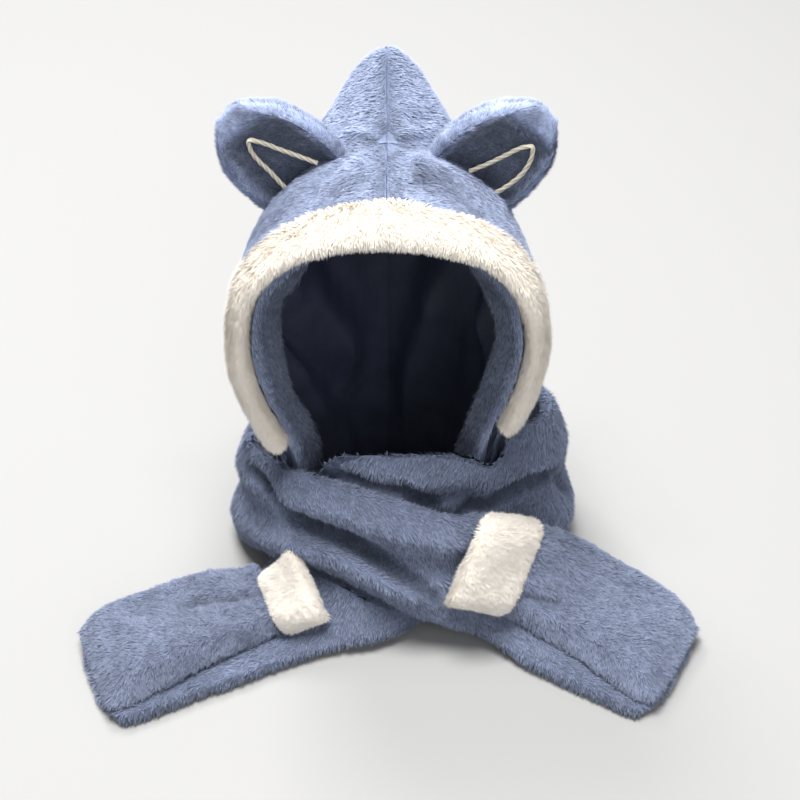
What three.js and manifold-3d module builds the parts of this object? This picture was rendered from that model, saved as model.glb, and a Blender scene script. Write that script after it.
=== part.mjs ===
// A plush animal hood with a sewn-on scarf: a peaked hood with two ears and a padded trim round the face,
// standing in a wrapped neck roll, and two scarf ends with hand pockets that cross in front of it.
// Millimetres, +Z up, the face looks along -Y, and left is -X. The whole stands on Z = 0.

import * as THREE from "three";
import { ParametricGeometry } from "three/addons/geometries/ParametricGeometry.js";
import { mergeGeometries, mergeVertices } from "three/addons/utils/BufferGeometryUtils.js";
import Module from "manifold-3d";

const wasm = await Module();
wasm.setup();

// Hood
const HOOD_WIDTH = 232; // outside, at its widest
const HOOD_DEPTH = 216; // front edge to back seam, at its deepest
const HOOD_HEIGHT = 381; // neckline to the tip of the peak
const NECKLINE_HEIGHT = 80; // above the floor, at the back
const HOOD_WALL = 8; // plush with its backing
const SEAM_GROOVE = 3.5;

// Neck, which the hood narrows to and the scarf goes round
const NECK_WIDTH = 200;
const NECK_DEPTH = 160;

// Face trim and the turned-in facing behind it
const TRIM_WIDTH = 44;
const TRIM_THICKNESS = 20;
const FACING_WALL = 7;

// Lining
const LINING_WALL = 2.5;
const LINING_FOLD = 15;

// Ears
const EAR_WIDTH = 84;
const EAR_HEIGHT = 84;
const EAR_PAD = 12; // each of the two pads
const EAR_CUP = 12; // how deep the front is dished
const PIPING_DIAMETER = 3.6;

// Scarf
const SCARF_WIDTH = 140;
const SCARF_THICKNESS = 18;
const FLOOR_PRESS = 1.5; // how much its underside is pressed flat where it lies

// Pockets on the scarf ends
const POCKET_LENGTH = 170; // closed end to cuff
const POCKET_WALL = 9;
const POCKET_GAP = 12; // hand space of the flattened pocket
const CUFF_WIDTH = 52;
const CUFF_THICKNESS = 15;

const GAP = 0.3; // between pieces that are sewn or lie together

const LEFT = -1;
const RIGHT = 1;
const BLUE = 0x7c8cb4;
const CREAM = 0xf3ebdd;
const LINING_BLUE = 0x4d5878;
const CORD_CREAM = 0xcfc6b0;

const point = (x, y, z) => new THREE.Vector3(x, y, z);
const { clamp, lerp, smoothstep } = THREE.MathUtils;

// Catmull-Rom value of a column of a table at t, which runs 0 to 1 over the rows. ending gives the row
// past the last one: "turned" for a column that changes sign there, "mirrored" for one that turns back.
function column(rows, key, t, ending = "straight") {
  const last = rows.length - 1;
  const at = (i) => {
    if (i < 0) return 2 * rows[0][key] - rows[1][key];
    if (i <= last) return rows[i][key];
    if (ending === "turned") return -rows[last - 1][key];
    if (ending === "mirrored") return rows[last - 1][key];
    return 2 * rows[last][key] - rows[last - 1][key];
  };
  const place = clamp(t, 0, 1) * last;
  const i = Math.min(Math.floor(place), last - 1);
  const f = place - i;
  const [a, b, c, d] = [at(i - 1), at(i), at(i + 1), at(i + 2)];
  return b + 0.5 * f * (c - a + f * (2 * a - 5 * b + 4 * c - d + f * (3 * (b - c) + d - a)));
}

const bezier = (t, a, b, c, d) =>
  (1 - t) ** 3 * a + 3 * (1 - t) ** 2 * t * b + 3 * (1 - t) * t ** 2 * c + t ** 3 * d;

const patch = (across, along, at) =>
  new ParametricGeometry((u, v, target) => target.copy(at(u, v)), across, along);

// A patch with its faces turned over, and its diagonals kept.
function turned(surface) {
  surface.index.array.reverse();
  return surface;
}

// Joins patches that share their edges into one closed solid, faces out.
function solidOf(patches) {
  const merged = mergeGeometries(
    patches.map((p) => {
      p.deleteAttribute("normal");
      p.deleteAttribute("uv");
      return p;
    }),
  );
  const shared = mergeVertices(merged, 1e-3);
  const position = shared.attributes.position.array;
  const index = shared.index.array;
  const kept = [];
  let volume = 0;
  for (let i = 0; i < index.length; i += 3) {
    const [a, b, c] = [index[i], index[i + 1], index[i + 2]];
    if (a === b || b === c || a === c) continue;
    kept.push(a, b, c);
    const corner = [a, b, c].map((k) => point(...position.slice(3 * k, 3 * k + 3)));
    volume += corner[0].dot(corner[1].cross(corner[2]));
  }
  if (volume < 0) kept.reverse();
  return new wasm.Manifold(
    new wasm.Mesh({ numProp: 3, vertProperties: position, triVerts: new Uint32Array(kept) }),
  );
}

// A closed sheet between two faces, with its four rims.
function sheetSolid(across, along, outer, inner) {
  return solidOf([
    patch(across, along, outer),
    turned(patch(across, along, inner)),
    patch(across, 1, (u, v) => (v ? outer(u, 0) : inner(u, 0))),
    patch(across, 1, (u, v) => (v ? inner(u, 1) : outer(u, 1))),
    patch(1, along, (u, v) => (u ? outer(0, v) : inner(0, v))),
    patch(1, along, (u, v) => (u ? inner(1, v) : outer(1, v))),
  ]);
}

// A closed tube whose section at v is ring(u, v), with fans over its ends unless it closes on itself.
function tubeSolid(around, along, ring, closesOnItself = false) {
  const centre = (v) => {
    const sum = point(0, 0, 0);
    for (let k = 0; k < around; k++) sum.add(ring(k / around, v));
    return sum.divideScalar(around);
  };
  const wall = patch(around, along, (u, v) => ring(u % 1, closesOnItself ? v % 1 : v));
  if (closesOnItself) return solidOf([wall]);
  const [start, end] = [centre(0), centre(1)];
  return solidOf([
    wall,
    patch(around, 1, (u, v) => (v ? ring(u % 1, 0) : start)),
    patch(around, 1, (u, v) => (v ? end : ring(u % 1, 1))),
  ]);
}

function meshOf(name, solid, colour) {
  const { vertProperties, triVerts, numProp } = solid.getMesh();
  const position = new Float32Array((vertProperties.length / numProp) * 3);
  for (let i = 0; i < position.length / 3; i++)
    position.set(vertProperties.subarray(i * numProp, i * numProp + 3), i * 3);
  const geometry = new THREE.BufferGeometry()
    .setAttribute("position", new THREE.BufferAttribute(position, 3))
    .setIndex(new THREE.BufferAttribute(triVerts, 1));
  geometry.computeVertexNormals();
  const material = new THREE.MeshStandardMaterial({ color: colour, roughness: 0.95, metalness: 0 });
  const mesh = new THREE.Mesh(geometry, material);
  mesh.name = name;
  return mesh;
}

// Hood surface. Each row is a level from the neckline to the crown seam, as seen on one side: the front
// edge, two pulls that swell the side, and the back seam. x is a share of half the width there, y of half
// the depth, and z of the height.
const HOOD_LEVELS = [
  { frontX: 0.82, frontY: -0.8, frontZ: 0.04, sideX: 1.12, rearX: 0.78, backY: 1.08, backZ: -0.17 },
  { frontX: 0.85, frontY: -0.82, frontZ: 0.21, sideX: 1.14, rearX: 0.84, backY: 1.02, backZ: 0.11 },
  { frontX: 0.96, frontY: -0.84, frontZ: 0.38, sideX: 1.16, rearX: 0.92, backY: 1.06, backZ: 0.36 },
  { frontX: 1.0, frontY: -0.85, frontZ: 0.55, sideX: 1.14, rearX: 0.93, backY: 1.14, backZ: 0.55 },
  { frontX: 0.92, frontY: -0.82, frontZ: 0.68, sideX: 0.98, rearX: 0.8, backY: 1.15, backZ: 0.73 },
  { frontX: 0.69, frontY: -0.76, frontZ: 0.755, sideX: 0.56, rearX: 0.61, backY: 1.03, backZ: 0.88 },
  { frontX: 0.36, frontY: -0.73, frontZ: 0.785, sideX: 0.25, rearX: 0.55, backY: 0.8, backZ: 0.97 },
  { frontX: 0.0, frontY: -0.72, frontZ: 0.793, sideX: 0.0, rearX: 0.0, backY: 0.56, backZ: 1.045 },
];
const NECK_REACH = 0.42; // how far up the levels the hood takes to widen from the neck's size to its own
const EDGE_SHARE = 0.02; // where the hood's layers start, inside the trim, as a share of each level
const EAR_SEAM = 0.4; // how far back the seam that holds the ears lies, as a share of each level
const SEAM_SWEEP = 0.07; // how much farther back it runs at the crown, between the ears
const CROWN_DIP = 0.02; // the crown seam dips at the ear seam by this share of the hood's height
const PEAK_ROUND = 0.05; // the tip of the peak is rounded off by this share of it
const TIP_THINNING = 0.7; // share by which the layers thin out into the tip

const seamPlace = (v) => EAR_SEAM + SEAM_SWEEP * smoothstep(v, 0.75, 1);

// Point on the hood's outside: u from the front edge, 0, to the back seam, 1, and v up from the neckline.
function hoodSkin(side, u, v) {
  const full = smoothstep(v, 0, NECK_REACH);
  const halfWidth = lerp(NECK_WIDTH, HOOD_WIDTH, full) / 2;
  const halfDepth = lerp(NECK_DEPTH, HOOD_DEPTH, full) / 2;
  const at = (key, ending) => column(HOOD_LEVELS, key, v, ending);
  const x = bezier(u, at("frontX", "turned"), at("sideX", "turned"), at("rearX", "turned"), 0);
  const [frontY, backY] = [at("frontY", "mirrored"), at("backY", "mirrored")];
  const y = bezier(u, frontY, lerp(frontY, backY, 0.34), lerp(frontY, backY, 0.86), backY);
  const rise = lerp(at("frontZ", "mirrored"), at("backZ", "mirrored"), u);
  const dip = CROWN_DIP * Math.exp(-(((u - seamPlace(1)) / 0.2) ** 2)) * smoothstep(v, 0.55, 1);
  const rounded = PEAK_ROUND * (Math.max(0, u - 0.8) / 0.2) ** 2 * smoothstep(v, 0.7, 1);
  return point(side * x * halfWidth, y * halfDepth, NECKLINE_HEIGHT + (rise - dip - rounded) * HOOD_HEIGHT);
}

// Outward normal of the hood's outside.
function hoodNormal(side, u, v) {
  const step = 0.004;
  const along = hoodSkin(side, Math.min(u + step, 1), v).sub(hoodSkin(side, Math.max(u - step, 0), v));
  const up = hoodSkin(side, u, Math.min(v + step, 0.999)).sub(hoodSkin(side, u, Math.min(v, 0.995) - step));
  return along.cross(up).normalize().multiplyScalar(side);
}

// A hood surface point moved out by height, kept on its own side of the centre seam.
function hoodAt(side, u, v, height) {
  const thin = 1 - TIP_THINNING * smoothstep(u, 0.7, 1) * smoothstep(v, 0.7, 1);
  const p = hoodSkin(side, u, v).addScaledVector(hoodNormal(side, u, v), height * thin);
  p.x = side * Math.max(side * p.x, GAP / 2);
  return p;
}

// Depth of the groove at the seams round a panel, by the shares of it that lie from each seam.
const groove = (share) => SEAM_GROOVE * Math.exp(-((share / 0.045) ** 2));

const SEAM_SHARE = GAP / HOOD_DEPTH; // half of the gap at a seam, as a share of the depth

// The layers of the hood lie on one grid, so that they stay apart: steps back from the front edge to the
// ear seam and on to the back seam, and steps up.
const FRONT_STEPS = 5;
const BACK_STEPS = 8;
const LEVEL_STEPS = 14;
const FACING_STEPS = 2; // steps back that the facing reaches
const FACING_START = 2; // steps up to its lower end

function gridPlace(step, v) {
  const seam = seamPlace(v);
  const behind = (step - FRONT_STEPS) / BACK_STEPS;
  return behind < 0 ? lerp(EDGE_SHARE, seam, step / FRONT_STEPS) : lerp(seam, 1, behind);
}

// A layer of one side of the hood from a first to a last step back, and up from a low step. The heights
// are out from the hood's surface.
function hoodLayer(side, first, last, outer, inner, low = 0) {
  const place = (s, v) => {
    const u = gridPlace(lerp(first, last, s), v);
    return u + SEAM_SHARE * (s === 0 ? 1 : s === 1 && u < 1 ? -1 : 0);
  };
  const face = (height) => (s, t) => {
    const v = lerp(low / LEVEL_STEPS, 1, t);
    return hoodAt(side, place(s, v), v, height(place(s, v), v));
  };
  return sheetSolid(last - first, LEVEL_STEPS - low, face(outer), face(inner));
}

const ALL_STEPS = FRONT_STEPS + BACK_STEPS;

function hoodPanel(side, first, last) {
  const outer = (u, v) => -Math.max(groove(u - seamPlace(v)), groove(1 - u), groove(0.8 * (1 - v)));
  return hoodLayer(side, first, last, outer, () => -HOOD_WALL);
}

// One side of the turned-in band inside the front edge.
function facingSolid(side) {
  const outside = -HOOD_WALL - GAP;
  return hoodLayer(side, 0, FACING_STEPS, () => outside, () => outside - FACING_WALL, FACING_START);
}

// Folds of the lining: a ridge from start to end, with u the share back from the front edge, v the share
// up from the neckline, and its width and depth as shares.
const LINING_FOLDS = [
  { side: LEFT, startU: 0.26, startV: 0.5, endU: 0.78, endV: 0.2, width: 0.09, depth: 1.0 },
  { side: LEFT, startU: 0.24, startV: 0.3, endU: 0.72, endV: 0.04, width: 0.07, depth: 0.9 },
  { side: LEFT, startU: 0.55, startV: 0.66, endU: 0.95, endV: 0.42, width: 0.07, depth: 0.5 },
  { side: RIGHT, startU: 0.26, startV: 0.62, endU: 0.5, endV: 0.3, width: 0.08, depth: 0.8 },
  { side: RIGHT, startU: 0.6, startV: 0.5, endU: 0.92, endV: 0.12, width: 0.07, depth: 0.7 },
];

function foldDepth(side, u, v) {
  let depth = 0;
  for (const fold of LINING_FOLDS) {
    if (fold.side !== side) continue;
    const [du, dv] = [fold.endU - fold.startU, fold.endV - fold.startV];
    const along = clamp(((u - fold.startU) * du + (v - fold.startV) * dv) / (du * du + dv * dv), 0, 1);
    const away = Math.hypot(u - fold.startU - along * du, v - fold.startV - along * dv);
    depth = Math.max(depth, fold.depth * LINING_FOLD * Math.exp(-((away / fold.width) ** 2)));
  }
  const start = gridPlace(FACING_STEPS, v);
  return depth * smoothstep(u, start, start + 0.08) * smoothstep(1 - u, 0, 0.12);
}

function liningSolid(side) {
  const height = (u, v) => -HOOD_WALL - GAP - foldDepth(side, u, v);
  return hoodLayer(side, FACING_STEPS, ALL_STEPS, height, (u, v) => height(u, v) - LINING_WALL);
}

// The hood filled solid, to cut what sits on it. Its open front is closed by straight chords.
function hoodBlock(swell) {
  const skin = (side) => (s, v) => {
    const u = gridPlace(s * ALL_STEPS, v);
    const p = hoodSkin(side, u, v).addScaledVector(hoodNormal(side, u, v), swell);
    if (s === 1 || v === 1) p.x = 0;
    return p;
  };
  const [left, right] = [skin(LEFT), skin(RIGHT)];
  return solidOf([
    turned(patch(ALL_STEPS, LEVEL_STEPS, left)),
    patch(ALL_STEPS, LEVEL_STEPS, right),
    patch(1, LEVEL_STEPS, (s, v) => left(0, v).lerp(right(0, v), s)),
    patch(1, ALL_STEPS, (s, u) => left(1 - u, 0).lerp(right(1 - u, 0), s)),
  ]);
}

// Local frame on the front edge at v, which runs 0 to 1 up the left side and down the right.
function frontEdge(t) {
  const side = t < 0.5 ? LEFT : RIGHT;
  const v = 1 - Math.abs(1 - 2 * t);
  const at = hoodSkin(side, 0, v);
  const back = hoodSkin(side, 0.08, v).sub(at).normalize();
  const out = hoodNormal(side, 0.02, v);
  return { at, back, out, v, side };
}

// A band along the front edge: section gives each corner's place back from the edge and out of it.
function edgeBand(around, along, from, to, section) {
  return tubeSolid(around, along, (u, s) => {
    const { at, back, out, v } = frontEdge(lerp(from, to, s));
    const [behind, proud] = section(u, s, v);
    return at.clone().addScaledVector(back, behind).addScaledVector(out, proud);
  });
}

const TRIM_START = 0.075; // where the trim's left end lies along the front edge, from the neckline
const TRIM_END = 0.1; // and its right end, which is tucked in higher
const TRIM_LAP = 0.22; // share of the trim that stands in front of the hood's edge

function trimSolid(swell) {
  const [halfWidth, halfThick] = [TRIM_WIDTH / 2 + swell, TRIM_THICKNESS / 2 + swell];
  return edgeBand(8, 40, TRIM_START, 1 - TRIM_END, (u, s) => {
    const angle = 2 * Math.PI * u;
    const taper = Math.min(1, 0.35 + 9 * Math.sqrt(Math.min(s, 1 - s)));
    const round = (value, power) => Math.sign(value) * Math.abs(value) ** power;
    return [
      TRIM_WIDTH * (0.5 - TRIM_LAP) + halfWidth * taper * round(Math.cos(angle), 0.7),
      halfThick * taper * round(Math.sin(angle), 0.8) - HOOD_WALL * 0.3,
    ];
  });
}

// Scarf paths. Each row is a cut across the cloth: its low or outer edge and its high or inner edge.
// x and y are shares of the ring outside the neck, z of the scarf's width above lying flat, and roll is
// how far the cloth bulges in two rolls, as a share of its thickness.
const LEFT_PATH = [
  { lowX: 0.0, lowY: 1.05, lowZ: -0.07, highX: 0.0, highY: 0.86, highZ: 0.72, roll: 0.4 },
  { lowX: -0.45, lowY: 0.97, lowZ: -0.07, highX: -0.42, highY: 0.79, highZ: 0.72, roll: 0.4 },
  { lowX: -0.82, lowY: 0.64, lowZ: -0.07, highX: -0.77, highY: 0.53, highZ: 0.73, roll: 0.4 },
  { lowX: -1.02, lowY: 0.05, lowZ: -0.07, highX: -0.91, highY: 0.02, highZ: 0.76, roll: 0.4 },
  { lowX: -0.97, lowY: -0.32, lowZ: 0.03, highX: -0.88, highY: -0.29, highZ: 0.87, roll: 0.4 },
  { lowX: -0.79, lowY: -0.71, lowZ: 0.24, highX: -0.7, highY: -0.58, highZ: 0.93, roll: 0.5 },
  { lowX: -0.53, lowY: -0.93, lowZ: 0.31, highX: -0.43, highY: -0.74, highZ: 0.94, roll: 0.7 },
  { lowX: -0.26, lowY: -1.09, lowZ: 0.29, highX: -0.12, highY: -0.86, highZ: 0.91, roll: 0.8 },
  { lowX: 0.0, lowY: -1.26, lowZ: 0.22, highX: 0.18, highY: -0.94, highZ: 0.85, roll: 0.8 },
  { lowX: 0.17, lowY: -1.33, lowZ: 0.17, highX: 0.44, highY: -0.95, highZ: 0.78, roll: 0.6 },
  { lowX: 0.3, lowY: -1.36, lowZ: 0.14, highX: 0.67, highY: -0.86, highZ: 0.74, roll: 0.25 },
  { lowX: 0.62, lowY: -1.42, lowZ: 0.05, highX: 0.98, highY: -0.68, highZ: 0.54, roll: 0.0 },
  { lowX: 0.89, lowY: -1.62, lowZ: 0.0, highX: 1.28, highY: -0.58, highZ: 0.3, roll: 0.0 },
  { lowX: 1.16, lowY: -1.82, lowZ: 0.0, highX: 1.6, highY: -0.64, highZ: 0.1, roll: 0.0 },
  { lowX: 1.44, lowY: -2.04, lowZ: 0.0, highX: 1.92, highY: -0.87, highZ: 0.02, roll: 0.0 },
  { lowX: 1.69, lowY: -2.21, lowZ: 0.0, highX: 2.14, highY: -1.24, highZ: 0.0, roll: 0.0 },
];
const RIGHT_PATH = [
  { lowX: 0.0, lowY: 1.05, lowZ: -0.07, highX: 0.0, highY: 0.86, highZ: 0.72, roll: 0.4 },
  { lowX: 0.58, lowY: 0.99, lowZ: -0.07, highX: 0.54, highY: 0.8, highZ: 0.77, roll: 0.4 },
  { lowX: 1.02, lowY: 0.64, lowZ: -0.07, highX: 0.93, highY: 0.56, highZ: 0.9, roll: 0.4 },
  { lowX: 1.22, lowY: 0.05, lowZ: -0.07, highX: 1.07, highY: 0.03, highZ: 1.04, roll: 0.4 },
  { lowX: 1.14, lowY: -0.4, lowZ: -0.07, highX: 1.0, highY: -0.28, highZ: 1.09, roll: 0.4 },
  { lowX: 0.93, lowY: -0.66, lowZ: -0.07, highX: 0.8, highY: -0.42, highZ: 1.13, roll: 0.4 },
  { lowX: 0.68, lowY: -0.84, lowZ: -0.07, highX: 0.56, highY: -0.48, highZ: 1.18, roll: 0.4 },
  { lowX: 0.46, lowY: -0.96, lowZ: -0.06, highX: 0.28, highY: -0.52, highZ: 1.17, roll: 0.4 },
  { lowX: 0.26, lowY: -1.14, lowZ: -0.04, highX: 0.0, highY: -0.53, highZ: 1.15, roll: 0.4 },
  { lowX: 0.08, lowY: -1.32, lowZ: -0.01, highX: -0.29, highY: -0.54, highZ: 1.1, roll: 0.3 },
  { lowX: -0.11, lowY: -1.42, lowZ: 0.0, highX: -0.54, highY: -0.53, highZ: 0.86, roll: 0.0 },
  { lowX: -0.32, lowY: -1.47, lowZ: 0.0, highX: -0.68, highY: -0.6, highZ: 0.38, roll: 0.0 },
  { lowX: -0.63, lowY: -1.6, lowZ: 0.0, highX: -0.91, highY: -0.7, highZ: 0.07, roll: 0.0 },
  { lowX: -0.94, lowY: -1.78, lowZ: 0.0, highX: -1.25, highY: -0.74, highZ: 0.04, roll: 0.0 },
  { lowX: -1.25, lowY: -1.96, lowZ: 0.0, highX: -1.58, highY: -0.87, highZ: 0.02, roll: 0.0 },
  { lowX: -1.53, lowY: -2.12, lowZ: 0.0, highX: -1.89, highY: -1.02, highZ: 0.01, roll: 0.0 },
  { lowX: -1.79, lowY: -2.28, lowZ: 0.0, highX: -2.12, highY: -1.24, highZ: 0.0, roll: 0.0 },
];

const ringX = NECK_WIDTH / 2 + 1.4 * SCARF_THICKNESS;
const ringY = NECK_DEPTH / 2 + 1.4 * SCARF_THICKNESS;

// A path's frame at t: the middle of the cut, the way across it to the high edge, and the outward way.
function scarfFrame(path, t) {
  const edge = (key, s) =>
    point(
      path.value(key + "X", s) * ringX,
      path.value(key + "Y", s) * ringY,
      SCARF_THICKNESS / 2 + path.value(key + "Z", s) * SCARF_WIDTH,
    );
  const middle = (s) => edge("low", s).add(edge("high", s)).divideScalar(2);
  const step = 0.005;
  const [low, high] = [edge("low", t), edge("high", t)];
  const heading = middle(Math.min(t + step, 1)).sub(middle(Math.max(t - step, 0))).normalize();
  const across = high.clone().sub(low);
  const half = across.length() / 2;
  across.normalize();
  const out = heading.clone().cross(across).normalize().multiplyScalar(path.turn);
  return { middle: middle(t), heading, across, out, half };
}

const paths = {
  left: { value: (key, t) => column(LEFT_PATH, key, t), turn: 1 },
  right: { value: (key, t) => column(RIGHT_PATH, key, t), turn: -1 },
};

// Section of a strip: shares of its half width and half thickness, once round from the high edge.
const SIDE_STOPS = [1, 0.92, 0.5, 0, -0.5, -0.92];
const stripStops = [...SIDE_STOPS, ...SIDE_STOPS.map((w) => -w)];
const edgeRound = (w) => Math.sqrt(Math.max(0, 1 - Math.abs(w) ** 6));

// How much of a strip's width is left this share of its length from a rounded end.
const END_ROUND = 0.045;
const endShare = (t, end) => Math.sqrt(1 - clamp((t - (1 - end)) / end, 0, 1) ** 3);

const STRIP_STEPS = 42;

function stripSolid(path, swell = 0) {
  const count = stripStops.length;
  return tubeSolid(count, STRIP_STEPS, (u, t) => {
    const { middle, heading, across, out, half } = scarfFrame(path, t);
    if (t === 0) middle.addScaledVector(heading, -swell);
    const k = Math.round(u * count) % count;
    const w = stripStops[k];
    const outside = k < count / 2;
    const end = 0.45 + 0.55 * endShare(t, END_ROUND);
    const thick = (SCARF_THICKNESS / 2) * (0.5 + 0.5 * endShare(t, END_ROUND / 3));
    const rolled = path.value("roll", t) * Math.abs(Math.sin(Math.PI * w)) ** 1.2;
    const bulge = outside ? SCARF_THICKNESS * rolled : 0;
    const height = (thick + swell) * (0.3 + 0.7 * edgeRound(w)) * (outside ? 1 : -1) + bulge;
    const p = middle.addScaledVector(across, w * (half * end + swell)).addScaledVector(out, height);
    return p.setZ(Math.max(p.z, FLOOR_PRESS - (swell ? 1 : 0)));
  });
}

// Pocket and cuff lie on the strip's upper face. s runs along the strip, w across it.
function onStrip(path, t, w, height) {
  const { middle, across, out, half } = scarfFrame(path, t);
  const face = (SCARF_THICKNESS / 2) * edgeRound(w);
  return middle.addScaledVector(across, w * half).addScaledVector(out, face + height);
}

// The share of a path that lies a given length before its end.
function shareBefore(path, length) {
  const steps = 400;
  let [gone, last] = [0, scarfFrame(path, 1).middle];
  for (let i = steps - 1; i >= 0; i--) {
    const next = scarfFrame(path, i / steps).middle;
    const step = next.distanceTo(last);
    gone += step;
    if (gone >= length) return (i + (gone - length) / step) / steps;
    last = next;
  }
  return 0;
}

const POCKET_FAR = 0.96; // the pocket reaches from this share of the half width on the far side
const POCKET_NEAR = -0.85; // to this one on the near side at its closed end
const CUFF_NEAR = -0.48; // and to this one at the cuff, where more of the strip's edge is bare

const SEWN_DEPTH = 2; // how far a sewn edge would sink into the strip, before it is cut to its face

// A sheet on the strip with a hollow under it, from start to end along it. near is its edge on the near
// side, as a share of the half width.
function sewnSheet(path, start, end, across, along, near, hollow, wall) {
  const place = (u, s) => {
    const t = lerp(start, end, s);
    return [t, lerp(near(s), POCKET_FAR, u) * (0.45 + 0.55 * endShare(t, END_ROUND))];
  };
  const lift = (u, s) => hollow(2 * u - 1, s) - SEWN_DEPTH;
  return sheetSolid(
    across,
    along,
    (u, s) => onStrip(path, ...place(u, s), lift(u, s) + SEWN_DEPTH + wall(2 * u - 1, s)),
    (u, s) => onStrip(path, ...place(u, s), lift(u, s)),
  );
}

function pocketSolid(path) {
  const [start, end] = [shareBefore(path, POCKET_LENGTH), shareBefore(path, 5)];
  const hollow = (w, s) => POCKET_GAP * (1 - w ** 6) * (1 - s ** 8);
  const wall = (w, s) => POCKET_WALL * (0.35 + 0.65 * Math.sqrt((1 - w ** 6) * (1 - s ** 10)));
  return sewnSheet(path, start, end, 8, 10, (s) => lerp(CUFF_NEAR, POCKET_NEAR, s), hollow, wall);
}

function cuffSolid(path) {
  const start = shareBefore(path, POCKET_LENGTH + CUFF_WIDTH);
  const end = shareBefore(path, POCKET_LENGTH + GAP);
  const body = (w, s) => Math.sqrt((1 - w ** 6) * (1 - (2 * s - 1) ** 6));
  const wall = (w, s) => CUFF_THICKNESS * (0.3 + 0.7 * body(w, s));
  return sewnSheet(path, start, end, 8, 6, () => CUFF_NEAR, (w) => POCKET_GAP * (1 - w ** 6), wall);
}

// Ear outline: half width at each height above the base, as shares.
const EAR_OUTLINE = [
  { half: 0.96 },
  { half: 1.0 },
  { half: 1.0 },
  { half: 0.96 },
  { half: 0.86 },
  { half: 0.66 },
  { half: 0.3 },
];
const EAR_LEVEL = 0.7; // where the middle of an ear's base lies on the ear seam, from the neckline
const EAR_SINK = 0.14; // share of the ear's height below the hood's surface, before it is cut there

// A point of an ear: a across it from its inner side, -1, to its outer side, b from base to tip.
function earAt(side, a, b, forward) {
  const base = hoodSkin(side, EAR_SEAM, EAR_LEVEL);
  const out = hoodNormal(side, EAR_SEAM, EAR_LEVEL).setY(0).normalize();
  const front = point(0, -1, 0);
  const along = out.clone().cross(front).multiplyScalar(side);
  const half = (EAR_WIDTH / 2) * column(EAR_OUTLINE, "half", b);
  const dish = EAR_CUP * (1 - a * a) * (1 - 0.6 * b * b);
  return base
    .addScaledVector(along, a * half)
    .addScaledVector(out, (b - EAR_SINK) * EAR_HEIGHT)
    .addScaledVector(front, forward - dish);
}

const earBody = (a, b) => Math.sqrt(Math.max(0, 1 - a ** 6)) * Math.sqrt(Math.max(0, 1 - b ** 8));

function earPad(side, facing) {
  const middle = (u, b) => earAt(side, 2 * u - 1, b, facing * (GAP / 2));
  const face = (u, b) => {
    const a = 2 * u - 1;
    return earAt(side, a, b, facing * (GAP / 2 + EAR_PAD * (0.18 + 0.82 * earBody(a, b))));
  };
  return sheetSolid(8, 9, face, middle);
}

// Piping on the ear's front, in the shape of a V with a round corner near the tip. left and right are its
// place across each ear, from the inner side, and b its height.
const PIPING_ROUTE = [
  { left: -0.48, right: -0.15, b: 0.12 },
  { left: -0.31, right: -0.02, b: 0.3 },
  { left: -0.17, right: 0.07, b: 0.47 },
  { left: -0.05, right: 0.16, b: 0.63 },
  { left: 0.1, right: 0.33, b: 0.72 },
  { left: 0.24, right: 0.48, b: 0.63 },
  { left: 0.29, right: 0.55, b: 0.49 },
  { left: 0.3, right: 0.56, b: 0.36 },
  { left: 0.33, right: 0.54, b: 0.23 },
  { left: 0.36, right: 0.51, b: 0.12 },
];

function pipingSolid(side) {
  const radius = PIPING_DIAMETER / 2;
  const middle = (t) => {
    const across = side === LEFT ? "left" : "right";
    const [a, b] = [column(PIPING_ROUTE, across, t), column(PIPING_ROUTE, "b", t)];
    return earAt(side, a, b, GAP / 2 + EAR_PAD * (0.18 + 0.82 * earBody(a, b)) + GAP + radius);
  };
  return tubeSolid(6, 14, (u, t) => {
    const heading = middle(Math.min(t + 0.01, 1)).sub(middle(Math.max(t - 0.01, 0))).normalize();
    const first = heading.clone().cross(point(0, -1, 0)).normalize();
    const second = heading.clone().cross(first);
    const angle = 2 * Math.PI * u;
    return middle(t)
      .addScaledVector(first, radius * Math.cos(angle))
      .addScaledVector(second, radius * Math.sin(angle));
  });
}

const part = new THREE.Group();
const add = (name, solid, colour) => part.add(meshOf(name, solid, colour));

const trim = trimSolid(0);
const trimCut = trimSolid(GAP);
const hoodCut = hoodBlock(GAP);
add("face_trim", trim, CREAM);
for (const [word, side] of [["left", LEFT], ["right", RIGHT]]) {
  add(`hood_front_${word}`, hoodPanel(side, 0, FRONT_STEPS).subtract(trimCut), BLUE);
  add(`hood_back_${word}`, hoodPanel(side, FRONT_STEPS, ALL_STEPS), BLUE);
  add(`facing_${word}`, facingSolid(side).subtract(trimCut), BLUE);
  add(`lining_${word}`, liningSolid(side).subtract(trimCut), LINING_BLUE);
  add(`ear_front_${word}`, earPad(side, 1).subtract(hoodCut), BLUE);
  add(`ear_back_${word}`, earPad(side, -1).subtract(hoodCut), BLUE);
  add(`ear_piping_${word}`, pipingSolid(side).subtract(hoodCut), CORD_CREAM);
}

const strips = { left: stripSolid(paths.left), right: stripSolid(paths.right) };
const stripCuts = { left: stripSolid(paths.left, GAP), right: stripSolid(paths.right, GAP) };
// The left end lies over the right one. A scrap that this leaves of a cuff's corner is dropped.
const largest = (solid) => solid.decompose().reduce((a, b) => (b.volume() > a.volume() ? b : a));
strips.right = strips.right.subtract(stripCuts.left);
for (const word of ["left", "right"]) {
  const clear = (solid) => largest(solid.subtract(stripCuts[word]).subtract(stripCuts.left));
  add(`scarf_${word}`, strips[word].subtract(hoodCut).subtract(trimCut), BLUE);
  add(`pocket_${word}`, clear(pocketSolid(paths[word])), BLUE);
  add(`cuff_${word}`, clear(cuffSolid(paths[word])), CREAM);
}

const box = new THREE.Box3().setFromObject(part);
const middle = box.getCenter(new THREE.Vector3());
part.position.set(-middle.x, -middle.y, -box.min.z);

export default part;
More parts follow.
